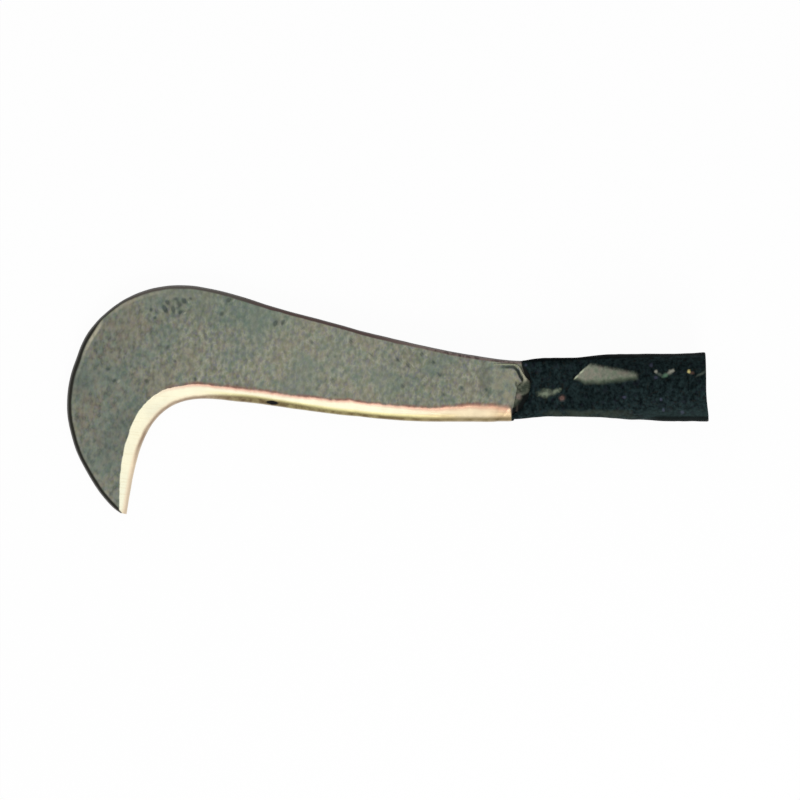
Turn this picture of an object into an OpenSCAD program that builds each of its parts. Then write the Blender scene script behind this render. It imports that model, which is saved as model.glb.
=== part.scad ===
// Billhook head: a forged, hooked blade whose tang is riveted and welded into a rolled steel socket.
// The origin is the centre of the socket's mouth. +X leaves the mouth along the handle and the blade
// lies towards -X. +Y is the side of the blade's back, and +Z is square to its flat face. Millimetres.

/* [Socket] */
// Length of the socket, from its mouth to the middle of its lip
socket_length = 96.5; // [90:0.5:120]
// Diameter of the round bore that takes the handle
bore_diameter = 32; // [29:0.5:35]
// Depth of the round part of the bore
bore_depth = 38; // [28:0.5:44]
// Thickness of the rolled sheet
sheet = 2; // [1.5:0.1:3]
// Extra wall at the mouth, where the sheet is upset by hammering
mouth_upset = 1; // [0:0.1:2]
// Slant of the mouth, in degrees
mouth_slant = 4.2; // [0:0.1:8]
// Length of the part that is pinched flat, back from the middle of the lip
pinch_length = 21.5; // [21.5:0.5:26]
// Height of the pinched part, across its rounded edges
pinch_height = 32.6; // [31:0.1:36]
// Radius of the hollow lip that laps over the blade
lip_radius = 24; // [22:0.5:34]
// Height of the lip's middle above the axis
lip_rise = 2.2; // [0:0.1:4]
// How far the upper side of the taper swells out between the barrel and the pinch
upper_swell = 0.9; // [0:0.1:2]
// How far the pinched part leans down towards the heel at the lip
lip_lean = 1.8; // [0:0.1:3]
// Width of the open seam at the mouth
seam_mouth = 2.2; // [0.8:0.1:4]
// Width of the open seam at the lip
seam_lip = 0.7; // [0.4:0.1:1.5]
// Diameter of the hole for the handle's nail
nail_hole = 4.5; // [3:0.5:6]
// Distance from the mouth to the nail hole
nail_set = 15; // [10:0.5:22]

/* [Blade] */
// Length of the blade, from the middle of the lip to the foremost point of the hook
blade_length = 255; // [220:1:300]
// Thickness of the plate at the neck and the tang
blade_thick = 5; // [4:0.1:7]
// Thickness of the back at the hump
hump_thick = 4.2; // [3:0.1:5]
// Thickness of the beak at its tip
tip_thick = 2.2; // [1.5:0.1:3]
// Thickness of the cutting edge
edge_thick = 0.4; // [0.2:0.1:0.8]
// Share of the thickness that is left where the bevel starts
hollow_share = 0.8; // [0.6:0.05:1]
// Bevel on the two corners of the back
back_chamfer = 0.9; // [0.3:0.1:1.2]
// Height of the hump above the axis
hump_rise = 56.2; // [48:0.1:66]
// Distance from the foremost point back to the top of the hump
hump_set = 62.5; // [55:0.5:75]
// Height of the back above the axis at the neck
neck_rise = 14.1; // [13:0.1:16]
// Drop of the foremost point below the axis
front_drop = 11; // [4:0.5:20]
// Depth of the flat worn on the nose
nose_flat = 0.8; // [0:0.1:2]
// Height of the middle of that flat above the axis
nose_flat_rise = 16; // [8:0.5:24]
// Half the length of that flat
nose_flat_half = 6; // [3:0.5:10]
// Drop of the beak's tip below the axis
beak_drop = 69.8; // [60:0.1:80]
// Distance from the foremost point back to the beak's tip
beak_set = 31.5; // [24:0.5:38]
// Width of the blunt tip
tip_width = 2.6; // [1.5:0.1:4]
// Distance from the foremost point back to the top of the throat
throat_set = 75; // [66:0.5:85]
// Drop of the throat's top below the axis
throat_drop = 6.4; // [2:0.1:12]
// Drop of the straight cutting edge below the axis
belly_drop = 19.1; // [17:0.1:24]
// Width of the ground bevel at the tip
bevel_tip = 4; // [2:0.1:6]
// Width of the ground bevel in the throat
bevel_throat = 10.3; // [6:0.1:12]
// Width of the ground bevel at its narrowest, on the belly
bevel_belly = 6.7; // [4:0.1:9]
// Width of the ground bevel at the heel
bevel_heel = 8.8; // [5:0.1:10]

/* [Tang and joints] */
// Length of the tang inside the socket
tang_length = 36; // [30:0.5:42]
// Width of the tang's rounded end
tang_end_width = 14; // [10:0.5:18]
// Diameter of the rivet's shank
rivet_diameter = 4; // [3:0.1:5]
// Distance from the middle of the lip back to the rivet
rivet_set = 17.3; // [12:0.1:17.3]
// Drop of the rivet below the axis
rivet_drop = 5.9; // [0:0.1:6.5]
// Width of the rivet's peened front
peen_width = 5; // [4.6:0.1:7]
// Height of the rivet's peened front
peen_height = 0.8; // [0.5:0.1:1.5]
// Width of the rivet's round head at the back
head_width = 8; // [7:0.1:10]
// Height of the rivet's round head at the back
head_height = 2.6; // [1.5:0.1:3.5]
// Height of the weld bead on the blade and on the lip
weld_leg = 1.9; // [1.2:0.1:2.4]
// Number of ripples in each weld bead
weld_ripples = 15; // [10:1:24]

/* [Hidden] */

// Clearance between parts that slide into one another
clearance = 0.05;
// Clearance of the tang's edges inside the pinched socket
tang_clearance = 0.4;
// Small step at the bottom of the round bore, where the throat starts to close
bore_step = 0.3;
// Overlap of cutting bodies beyond the surface that they cut
over = 1;
// The plate is drawn this far past the middle of the lip and then cut to the lip's curve
plate_lap = 2;
$fn = 48;

half_thick = blade_thick / 2;
bore_r = bore_diameter / 2;
mouth_r = bore_r + sheet + mouth_upset;
barrel_r = bore_r + sheet;
pinch_half = pinch_height / 2;
pinch_depth_half = half_thick + sheet;
// Length of cutting bodies that go right through the socket
through = 4 * mouth_r;
lip_x = -socket_length;
pinch_x = lip_x + pinch_length;
lip_centre = [lip_x - lip_radius, lip_rise];
// Where the lip's curve meets the lower edge of the pinched socket
lip_foot = -pinch_half - lip_lean;
lip_foot_x = lip_centre.x + sqrt(lip_radius ^ 2 - (lip_foot - lip_rise) ^ 2);
// The lean starts this far behind the lip
lean_run = 18;
rivet_at = [lip_x + rivet_set, -rivet_drop];
tang_top = pinch_half - pinch_depth_half - lip_lean - tang_clearance;
tang_foot = max(tang_clearance + bevel_heel - belly_drop, tang_clearance + pinch_depth_half - pinch_half);
tang_end_x = lip_x + tang_length;
// The tang starts this far inside the plate, past the hollow of the lip
tang_lap = 10;
// The weld bead runs along the lip between these two angles
weld_inset = 1;
weld_top = asin((tang_top + weld_inset - lip_rise) / lip_radius);
weld_foot = asin((tang_foot + weld_inset - lip_rise) / lip_radius);
// Share of the bead's height that is lost between two ripples, and the angle left at its two faded ends
weld_dip = 0.22;
weld_fade = 12;
weld_sides = 5;
weld_steps = 6;

// Main points of the blade's outline
front_x = lip_x - blade_length;
tip_rake = 0.6;
tip_back = [front_x + beak_set - tip_width / 2, tip_rake - beak_drop];
tip_edge = [front_x + beak_set + tip_width / 2, -beak_drop];
front = [front_x, -front_drop];
hump = [front_x + hump_set, hump_rise];
throat = [front_x + throat_set, -throat_drop];
root_x = lip_x + plate_lap;
neck = [root_x, neck_rise];
belly_end = [root_x, -belly_drop];
// Where the back and the belly change curve between hook and neck, as shares of the run and the rise
back_share = [0.296, 0.329];
back_slope = -0.289;
back_mid = [
    mixed(hump.x, neck.x, back_share.x),
    mixed(hump.y, neck.y, back_share.y)
];
belly_share = 0.71;
belly_mid = [mixed(throat.x, belly_end.x, belly_share), -belly_drop];
// How far each curve follows its end directions, as shares of its run or rise
beak_pull = [0.425, 0.12, 0.34];
nose_pull = [0.575, 0.585];
hump_pull = [0.275, 0.325];
neck_pull = [0.285, 0.24];
throat_pull = [0.12, 0.462, 0.8];
belly_pull = [0.205, 0.333];

// Point on a cubic curve with ends a and d and handles b and c
function cubic(a, b, c, d, t) =
    a * (1 - t) ^ 3 + 3 * b * t * (1 - t) ^ 2 + 3 * c * t ^ 2 * (1 - t) + d * t ^ 3;
// Number that eases from a at t = 0 to b at t = 1
function ease(a, b, t) = a + (b - a) * (3 - 2 * min(max(t, 0), 1)) * min(max(t, 0), 1) ^ 2;
function mixed(a, b, t) = a + (b - a) * t;
function unit(v) = v / norm(v);

// Four stretches of the back: beak, nose, hump, and on to the neck
function back_beak(t) = let (
    s = front - tip_back,
    start = [beak_pull[0] * s.x, beak_pull[1] * s.y]
) cubic(tip_back, tip_back + start, front - [0, beak_pull[2] * s.y], front, t);
function back_nose(t) = let (
    s = hump - front,
    p = cubic(front, front + [0, nose_pull[0] * s.y], hump - [nose_pull[1] * s.x, 0], hump, t),
    off_flat = (p.y - nose_flat_rise) / nose_flat_half
) p + [nose_flat * exp(-off_flat ^ 2), 0];
function back_hump(t) = let (
    s = back_mid - hump,
    finish = hump_pull[1] * s.x * [1, back_slope]
) cubic(hump, hump + [hump_pull[0] * s.x, 0], back_mid - finish, back_mid, t);
function back_neck(t) = let (
    s = neck - back_mid,
    start = neck_pull[0] * s.x * [1, back_slope]
) cubic(back_mid, back_mid + start, neck - [neck_pull[1] * s.x, 0], neck, t);

// Three stretches of the cutting edge: beak and throat, belly, heel
function edge_beak(t) = let (
    s = throat - tip_edge,
    start = [throat_pull[0] * s.x, throat_pull[1] * s.y]
) cubic(tip_edge, tip_edge + start, throat - [throat_pull[2] * s.x, 0], throat, t);
function edge_belly(t) = let (s = belly_mid - throat)
    cubic(throat, throat + [belly_pull[0] * s.x, 0], belly_mid - [belly_pull[1] * s.x, 0], belly_mid, t);
function edge_heel(t) = mixed(belly_mid, belly_end, t);

// Stations along the blade. A station at u from 0 to 4 has a point on the back and one on the edge
steps = 22;
function back_at(u) =
    u < 1 ? back_beak(u) : u < 2 ? back_nose(u - 1) : u < 3 ? back_hump(u - 2) : back_neck(u - 3);
function edge_at(u) =
    u < 2 ? edge_beak(u / 2)
    : u < 2 + 2 * belly_share ? edge_belly((u - 2) / (2 * belly_share))
    : edge_heel((u - 2 - 2 * belly_share) / (2 - 2 * belly_share));
// Width of the bevel: it swells from the tip to the throat, narrows on the belly, widens to the heel
throat_u = 1.4;
belly_u = 2.3;
heel_u = 4;
// How late the bevel swells along the beak
beak_delay = 1.25;
function bevel_at(u) =
    u < throat_u ? mixed(bevel_tip, bevel_throat, sin(90 * u / throat_u) ^ beak_delay)
    : u < belly_u ? ease(bevel_throat, bevel_belly, (u - throat_u) / (belly_u - throat_u))
    : ease(bevel_belly, bevel_heel, (u - belly_u) / (heel_u - belly_u));
// Thickness at the back, and where the bevel starts. Both are full at the neck
hump_u = 2;
back_mid_u = 3;
neck_u = 3.75;
function back_thick_at(u) =
    u < hump_u ? mixed(tip_thick, hump_thick, u / hump_u)
    : ease(hump_thick, blade_thick, (u - hump_u) / (neck_u - hump_u));
function bevel_thick_at(u) =
    back_thick_at(u) * ease(hollow_share, 1, (u - back_mid_u) / (neck_u - back_mid_u));

// One closed section through the plate, from the edge over the face to the back and round again.
// The bevel and the corners of the back never take more than these shares of a narrow section, and a
// section that runs askew to the edge widens the bevel by no more than the inverse of the last share
bevel_limit = 0.75;
corner_limit = 0.2;
askew_limit = 0.5;
corner_round = 0.3;
edge_step = 0.01;
function plate_section(u) = let (
    e = edge_at(u),
    s = back_at(u),
    across = unit(s - e),
    along = unit(edge_at(u + edge_step) - edge_at(u - edge_step)),
    square_on = max(askew_limit, across * [-along.y, along.x]),
    b = e + across * min(bevel_at(u) / square_on, bevel_limit * norm(s - e)),
    c = min(back_chamfer, corner_limit * norm(s - e)),
    inset = s - across * c,
    mid = s - across * c * corner_round,
    zs = back_thick_at(u) / 2,
    zb = bevel_thick_at(u) / 2,
    ze = edge_thick / 2
) [
    [e.x, e.y, ze], [b.x, b.y, zb], [inset.x, inset.y, zs], [mid.x, mid.y, zs - corner_round * c],
    [s.x, s.y, zs - c], [s.x, s.y, c - zs],
    [mid.x, mid.y, corner_round * c - zs], [inset.x, inset.y, -zs], [b.x, b.y, -zb], [e.x, e.y, -ze]
];

// Skin over a list of closed sections with the same number of points, with flat ends
module loft(sections) {
    rings = len(sections);
    n = len(sections[0]);
    sides = [
        for (i = [0 : rings - 2], j = [0 : n - 1], half = [0, 1])
            let (k = (j + 1) % n, a = i * n, b = a + n)
            half == 0 ? [a + j, b + k, b + j] : [a + j, a + k, b + k]
    ];
    first = [for (j = [n - 1 : -1 : 0]) j];
    last = [for (j = [0 : n - 1]) (rings - 1) * n + j];
    polyhedron([for (s = sections) each s], concat(sides, [first, last]));
}

// Section of the socket at x: a slot with round ends, half_h high and half_d deep, centred at y
function slot_section(x, y, half_h, half_d, n) = [
    for (i = [0 : n - 1])
        let (a = 360 * (i + 0.5) / n, up = cos(a) > 0 ? 1 : -1)
        [x, y + up * (half_h - half_d) + half_d * cos(a), half_d * sin(a)]
];
function lean_at(x) = ease(0, -lip_lean, (lip_x + lean_run / 2 - x) / lean_run);
// Share of the way from the round barrel, 0, to the pinch, 1
function pinch_at(x) = ease(0, 1, (x + bore_depth) / (pinch_x + bore_depth));
// The swell lifts the upper side alone, so half of it goes to the height and half to the centre
function half_swell(x) = let (t = (x + bore_depth) / (pinch_x + bore_depth))
    t < 0 || t > 1 ? 0 : upper_swell / 2 * sin(180 * t) ^ 2;
function centre_at(x) = lean_at(x) + half_swell(x);
function outer_half_h(x) =
    x > -bore_depth ? mixed(mouth_r, barrel_r, -x / bore_depth)
    : mixed(barrel_r, pinch_half, pinch_at(x)) + half_swell(x);
function outer_half_d(x) =
    x > -bore_depth ? outer_half_h(x) : mixed(barrel_r, pinch_depth_half, pinch_at(x));
function inner_half_h(x) = mixed(bore_r - bore_step, pinch_half - sheet, pinch_at(x)) + half_swell(x);
function inner_half_d(x) = mixed(bore_r - bore_step, half_thick, pinch_at(x));

pinch_steps = 16;
ring_points = 56;
lip_steps = 6;
lip_run = [for (i = [0 : lip_steps]) mixed(lip_x + lean_run / 2, lip_foot_x - 4 * over, i / lip_steps)];
pinch_run = [for (i = [0 : pinch_steps]) mixed(-bore_depth, pinch_x, i / pinch_steps)];

module lip_cut(r) {
    translate([lip_centre.x, lip_centre.y, 0])
        cylinder(r = r, h = through, center = true, $fn = 96);
    translate([lip_centre.x - 2 * blade_length, 0, 0])
        cube([4 * blade_length, 2 * blade_length, through], center = true);
}

module blade() {
    color([0.46, 0.48, 0.43]) difference() {
        union() {
            intersection() {
                loft([for (i = [0 : 4 * steps]) plate_section(i / steps)]);
                lip_cut(lip_radius - clearance);
            }
            tang();
        }
        rivet_hole();
    }
}

// Flat tongue of the plate that goes into the pinched socket
module tang() {
    end_r = tang_end_width / 2;
    end_y = (tang_top + tang_foot) / 2;
    translate([0, 0, -half_thick]) linear_extrude(blade_thick) union() {
        polygon([
            [lip_x - tang_lap, tang_foot], [rivet_at.x, tang_foot],
            [tang_end_x - end_r, end_y - end_r], [tang_end_x - end_r, end_y + end_r],
            [rivet_at.x, tang_top], [lip_x - tang_lap, tang_top]
        ]);
        translate([tang_end_x - end_r, end_y]) circle(end_r);
    }
}

module rivet_hole() {
    translate([rivet_at.x, rivet_at.y, 0])
        cylinder(d = rivet_diameter + 2 * clearance, h = through, center = true);
}

module socket() {
    color([0.1, 0.13, 0.14]) difference() {
        loft([
            for (x = concat([2 * over + mouth_r * tan(mouth_slant)], pinch_run, lip_run))
                slot_section(x, centre_at(x), outer_half_h(x), outer_half_d(x), ring_points)
        ]);
        socket_hollow();
        lip_cut(lip_radius);
        mouth_cut();
        seam_cut();
        rivet_hole();
        translate([-nail_set, 0, 0]) rotate([90, 0, 0]) cylinder(d = nail_hole, h = 2 * mouth_r);
    }
}

// Round bore for the handle, and the throat that closes from it down on to the tang
module socket_hollow() {
    translate([-bore_depth, 0, 0]) rotate([0, 90, 0])
        cylinder(r = bore_r, h = bore_depth + 2 * mouth_r);
    loft([
        for (x = concat([over - bore_depth], pinch_run, lip_run, [lip_foot_x - 6 * over]))
            slot_section(x, centre_at(x), inner_half_h(x), inner_half_d(x), ring_points)
    ]);
}

module mouth_cut() {
    rotate([0, 0, mouth_slant]) translate([through / 2, 0, 0])
        cube([through, 2 * through, through], center = true);
}

// Open butt seam where the rolled sheet meets itself, narrowing from the mouth to the lip
module seam_cut() {
    translate([0, 0, -2 * mouth_r]) linear_extrude(2 * mouth_r) polygon([
        [2 * mouth_r, seam_mouth / 2], [0, seam_mouth / 2], [lip_foot_x - over, seam_lip / 2],
        [lip_foot_x - over, -seam_lip / 2], [0, -seam_mouth / 2], [2 * mouth_r, -seam_mouth / 2]
    ]);
}

// Rivet with a low peened front and a round head at the back, turned about its own axis
module tang_rivet() {
    grip = 2 * pinch_depth_half;
    color([0.4, 0.26, 0.2]) translate([rivet_at.x, rivet_at.y, -pinch_depth_half]) {
        cylinder(d = rivet_diameter, h = grip);
        translate([0, 0, grip]) dome(peen_width / 2, peen_height);
        mirror([0, 0, 1]) dome(head_width / 2, head_height);
    }
}

// Cap of a ball, with base radius r and height h, standing on z = 0
module dome(r, h) {
    ball = (r ^ 2 + h ^ 2) / (2 * h);
    rotate_extrude() intersection() {
        translate([0, h - ball]) circle(ball, $fn = 96);
        square([r, h]);
    }
}

// Section of the weld bead at t from 0 to 1 along the lip: a quarter round in the corner, swelling once
// for each ripple and dying away at both ends
function weld_section(t) = let (
    a = mixed(weld_foot, weld_top, t),
    swell = 1 - weld_dip * (0.5 + 0.5 * cos(360 * weld_ripples * t)),
    r = weld_leg * swell * sqrt(sin(mixed(weld_fade, 180 - weld_fade, t))),
    corner = [for (q = [0 : weld_sides]) r * [cos(90 * q / weld_sides), sin(90 * q / weld_sides)]]
) [
    for (c = concat([[0, 0]], corner))
        let (out = lip_radius - c.x)
        [lip_centre.x + out * cos(a), lip_centre.y + out * sin(a), half_thick + c.y]
];

// Rippled bead in the corner between the blade's face and the edge of the lip
module lip_weld() {
    rings = weld_steps * weld_ripples;
    loft([for (i = [0 : rings]) weld_section(i / rings)]);
}

module lip_weld_front() {
    color([0.36, 0.35, 0.31]) lip_weld();
}

module lip_weld_back() {
    color([0.36, 0.35, 0.31]) mirror([0, 0, 1]) lip_weld();
}

blade();
socket();
tang_rivet();
lip_weld_front();
lip_weld_back();
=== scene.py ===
import math

import bpy
import numpy as np
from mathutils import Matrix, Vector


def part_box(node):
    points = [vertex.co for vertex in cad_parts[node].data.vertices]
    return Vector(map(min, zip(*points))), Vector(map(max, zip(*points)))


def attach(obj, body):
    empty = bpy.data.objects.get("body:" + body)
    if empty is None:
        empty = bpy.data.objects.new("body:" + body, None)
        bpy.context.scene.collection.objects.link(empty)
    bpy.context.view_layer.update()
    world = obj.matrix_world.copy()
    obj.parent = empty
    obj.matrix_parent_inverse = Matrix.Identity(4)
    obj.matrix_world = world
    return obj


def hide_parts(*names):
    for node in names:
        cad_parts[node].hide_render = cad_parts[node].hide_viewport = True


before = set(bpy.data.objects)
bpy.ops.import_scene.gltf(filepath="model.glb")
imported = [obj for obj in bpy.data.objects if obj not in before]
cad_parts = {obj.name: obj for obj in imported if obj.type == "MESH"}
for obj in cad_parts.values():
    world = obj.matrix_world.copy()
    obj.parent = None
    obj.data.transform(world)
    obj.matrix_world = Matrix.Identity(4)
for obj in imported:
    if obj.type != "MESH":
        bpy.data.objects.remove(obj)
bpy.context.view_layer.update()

# Blade
# One forging of tool steel: a hooked plate that thins from its neck to its beak, left with the grey
# scale of the fire, its cutting edge ground bright on both faces. Its tang runs on into the socket.
MM = 0.001
lip_x = -96.5
lip_radius = 24.0
lip_centre = np.array([lip_x - lip_radius, 2.2])
blade_length = 255.0
blade_thick = 5.0
hump_thick = 4.2
tip_thick = 2.2
edge_thick = 0.4
hollow_share = 0.8
back_chamfer = 0.9
bevel_tip = 4.0
bevel_throat = 10.3
bevel_belly = 6.7
bevel_heel = 8.8
bevel_limit = 0.75
beak_taper = 1.25
front_x = lip_x - blade_length
root_x = lip_x + 2.0
back_foot = 14.1
belly_drop = 19.1
tip_back = np.array([front_x + 29.5, -69.2])
tip_edge = np.array([front_x + 32.8, -69.8])
front = np.array([front_x, -11.0])
hump = np.array([front_x + 62.5, 56.2])
throat = np.array([front_x + 75.0, -6.4])
neck = np.array([root_x, back_foot])
back_mid = hump + (neck - hump) * (0.296, 0.329)
back_slope = np.array([1.0, -0.289])
belly_share = 0.71
belly_end = np.array([root_x, -belly_drop])
belly_mid = np.array([throat[0] + (root_x - throat[0]) * belly_share, -belly_drop])
throat_u = 1.4
belly_u = 2.3
tang_top = 9.6
tang_foot = -9.9
tang_length = 36.0
tang_end_r = 7.0
tang_straight = 17.3
level = np.array([1.0, 0.0])


def curve(a, along_a, along_d, d):
    """Four control points of a cubic from a to d: it leaves a by along_a and reaches d by along_d."""
    return np.array([a, a + along_a, d - along_d, d])


def on_chain(u, stops, curves):
    """Points at u on a chain of cubics that meet at the stops, by the Bernstein polynomials."""
    points = np.zeros((len(u), 2))
    for low, high, control in zip(stops[:-1], stops[1:], curves):
        inside = (u >= low) & (u <= high)
        t = ((u[inside] - low) / (high - low))[:, None]
        weights = [(1 - t) ** 3, 3 * t * (1 - t) ** 2, 3 * t**2 * (1 - t), t**3]
        points[inside] = sum(w * p for w, p in zip(weights, control))
    return points


def ease(low, high, t):
    """Goes from low at t = 0 to high at t = 1 with level ends, by 3t^2 - 2t^3."""
    t = np.clip(t, 0, 1)
    return low + (high - low) * t * t * (3 - 2 * t)


def bell(at, middle, half):
    """1 at the middle and less to each side, by exp(-((at - middle) / half)^2)."""
    return np.exp(-(((at - middle) / half) ** 2))


def stray(at, knots):
    """How far a hand-made line strays at a place: straight between knots of (place, amount)."""
    places, amounts = zip(*knots)
    return np.interp(at, places, amounts)


def waves(points, length, seed, count=18):
    """Uneven surface from plane waves of random heading, phase and near length, from about -1 to 1."""
    draw = np.random.default_rng(seed)
    heading = draw.normal(size=(count, points.shape[-1]))
    heading /= np.linalg.norm(heading, axis=1, keepdims=True)
    size = 2 * math.pi / (length * draw.uniform(0.6, 1.7, count))
    phase = draw.uniform(0, 2 * math.pi, count)
    return np.sin(points @ (heading * size[:, None]).T + phase).sum(-1) / math.sqrt(2 * count)


def gouges(points, marks):
    """Depth of marks at 2-D points: each mark (x, y, length, width, heading, depth) is a long bell."""
    depth = np.zeros(points.shape[:-1])
    for x_at, y_at, long, wide, heading, deep in marks:
        down, side = math.cos(math.radians(heading)), math.sin(math.radians(heading))
        off = points - (x_at, y_at)
        run = (off[..., 0] * down + off[..., 1] * side) / long
        out = (off[..., 1] * down - off[..., 0] * side) / wide
        depth += deep * np.exp(-(run**2) - out**2)
    return depth


def from_path(points, path):
    """Distance of 2-D points from the nearest of a path's straight runs."""
    least = np.full(points.shape[:-1], np.inf)
    for a, b in zip(path[:-1], path[1:]):
        t = np.clip(((points - a) @ (b - a)) / ((b - a) @ (b - a)), 0, 1)
        least = np.minimum(least, np.linalg.norm(points - a - t[..., None] * (b - a), axis=-1))
    return least


def skin(name, rings, **measures):
    """Closed mesh over rings of points in millimetres: quads join each ring to the next, and both end
    rings are closed across by joining point j to point n - 1 - j. Measures become point attributes."""
    sharp_from = math.radians(40)
    count, around = rings.shape[:2]
    here = np.arange(count * around).reshape(count, around)
    after = np.roll(here, -1, axis=1)
    sides = np.stack([here[:-1], after[:-1], after[1:], here[1:]], -1).reshape(-1, 4)
    half = np.arange(around // 2 - 1)
    cap = np.stack([half, half + 1, around - 2 - half, around - 1 - half], -1)
    faces = np.concatenate([sides, cap[:, ::-1], cap + here[-1, 0]])
    points = rings.reshape(-1, 3) * MM
    corner = points[faces]
    halves = np.concatenate([corner[:, [0, 1, 2]], corner[:, [0, 2, 3]]])
    if np.einsum("ij,ij->", halves[:, 0], np.cross(halves[:, 1], halves[:, 2])) < 0:
        faces = faces[:, ::-1]
    mesh = bpy.data.meshes.new(name)
    mesh.from_pydata(points, [], faces.tolist())
    mesh.polygons.foreach_set("use_smooth", np.ones(len(faces), bool))
    mesh.set_sharp_from_angle(angle=sharp_from)
    for measure, values in measures.items():
        store = mesh.attributes.new(measure, "FLOAT", "POINT")
        store.data.foreach_set("value", np.asarray(values, np.float32).ravel())
    piece = bpy.data.objects.new(name, mesh)
    bpy.context.scene.collection.objects.link(piece)
    return piece


def lip_line(y):
    """X of the hollow lip at height y: the right half of a circle about the lip's centre."""
    return lip_centre[0] + np.sqrt(np.maximum(lip_radius**2 - (y - lip_centre[1]) ** 2, 1.0))


# The back runs over beak, nose, hump and neck; the edge over beak and throat, belly and heel. The
# stations along both stand closest round the hump and the throat.
to_front, to_hump, to_mid, to_neck = front - tip_back, hump - front, back_mid - hump, neck - back_mid
to_throat, to_belly, to_heel = throat - tip_edge, belly_mid - throat, belly_end - belly_mid
back_curves = [
    curve(tip_back, to_front * (0.425, 0.12), to_front * (0, 0.34), front),
    curve(front, to_hump * (0, 0.575), to_hump * (0.585, 0), hump),
    curve(hump, 0.275 * to_mid[0] * level, 0.325 * to_mid[0] * back_slope, back_mid),
    curve(back_mid, 0.285 * to_neck[0] * back_slope, 0.24 * to_neck[0] * level, neck),
]
edge_curves = [
    curve(tip_edge, to_throat * (0.12, 0.462), 0.8 * to_throat[0] * level, throat),
    curve(throat, 0.205 * to_belly[0] * level, 0.333 * to_belly[0] * level, belly_mid),
    curve(belly_mid, to_heel / 3, to_heel / 3, belly_end),
]
stations = 441
u = np.interp(np.arange(stations), [0, 130, 260, stations - 1], [0, 1.65, 2.15, 4])
back_line = on_chain(u, [0, 1, 2, 3, 4], back_curves)
edge_line = on_chain(u, [0, 2, 2 + 2 * belly_share, 4], edge_curves)

# The smith's hammer left the outline a little off these curves: a flat and two swells on the front, a
# higher neck, slow bends of back and edge, and a fine unevenness that fades out towards the tip.
nose_flat = 0.5
nose_flat_y = 16.0
nose_flat_half = 8.0
front_swell = 0.4
front_swell_half = 7.5
nose_swell_y = 30.0
beak_swell_y = -36.0
neck_lift = 0.4
neck_x = -134.0
neck_run = 20.0
edge_bends = [
    (-270, 0), (-258, -0.3), (-248, -0.1), (-226, -0.35), (-200, -0.3), (-190, 0.05), (-182, -0.1), (-165, 0),
    (-150, 0.1), (-135, 0.1), (-118, 0), (-112, -0.05), (-107, 0.25), (-98, 0.25), (-94, 0.7),
]
back_bends = [
    (-285, 0), (-266, 0.25), (-253, 0.25), (-244, 0), (-226, 0.05), (-214, 0.35), (-200, 0.35), (-190, 0),
    (-178, 0.15), (-165, 0.15), (-150, 0),
]
back_rough = 0.06
edge_rough = 0.04
on_nose = (u > 1) & (u < 2)
back_line[:, 0] += nose_flat * bell(back_line[:, 1], nose_flat_y, nose_flat_half) * on_nose
swell_y = np.where(u > 1, nose_swell_y, beak_swell_y)
back_line[:, 0] -= front_swell * bell(back_line[:, 1], swell_y, front_swell_half) * (u < 2)
edge_line[:, 1] += stray(edge_line[:, 0], edge_bends)
back_line[:, 1] += stray(back_line[:, 0], back_bends)
back_line[:, 1] += neck_lift * np.clip((back_line[:, 0] - neck_x) / neck_run, 0, 1)
across = back_line - edge_line
across /= np.linalg.norm(across, axis=1, keepdims=True)
from_tip = np.minimum(1, u * 4)
back_line -= across * (back_rough * from_tip * (1 + waves(back_line, length=12, seed=1)))[:, None]
edge_line += across * (edge_rough * from_tip * (1 + waves(edge_line, length=9, seed=2)))[:, None]

# The bevel is widest in the throat and was ground by eye, so its upper line wavers.
belly_waver = [
    (-286, 0), (-275, 0.4), (-246, 0.5), (-226, 0.1), (-210, 0.4), (-196, 0.6), (-182, 0.5), (-165, 0.1),
    (-152, -0.4), (-144, -0.7), (-136, -0.1), (-128, 0.6), (-112, 0.4), (-104, -1.4),
]
beak_waver = [(-66, 0.3), (-56, 0.5), (-42, 0.45), (-36, 0.1), (-29, -0.25), (-20, 0)]
bevel_sway = 0.18
beak_chatter = 0.03
belly_chatter = 0.12
width = np.linalg.norm(back_line - edge_line, axis=1)
slope = np.gradient(edge_line, axis=0)
slope /= np.linalg.norm(slope, axis=1, keepdims=True)
square_on = np.maximum(0.5, across[:, 1] * slope[:, 0] - across[:, 0] * slope[:, 1])
to_beak = np.sin(np.pi / 2 * np.minimum(u / throat_u, 1)) ** beak_taper
bevel = np.where(
    u < throat_u, bevel_tip + (bevel_throat - bevel_tip) * to_beak,
    np.where(u < belly_u, ease(bevel_throat, bevel_belly, (u - throat_u) / (belly_u - throat_u)),
             ease(bevel_belly, bevel_heel, (u - belly_u) / (4 - belly_u))))
bevel += stray(edge_line[:, 0], belly_waver) * (u > 1) + stray(edge_line[:, 1], beak_waver) * (u <= 1)
chatter = ease(beak_chatter, belly_chatter, u - 1) * waves(edge_line, length=3.5, seed=6)
bevel += from_tip * (bevel_sway * waves(edge_line, length=11, seed=3) + chatter)
bevel = np.minimum(bevel / square_on, bevel_limit * width)

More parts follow.
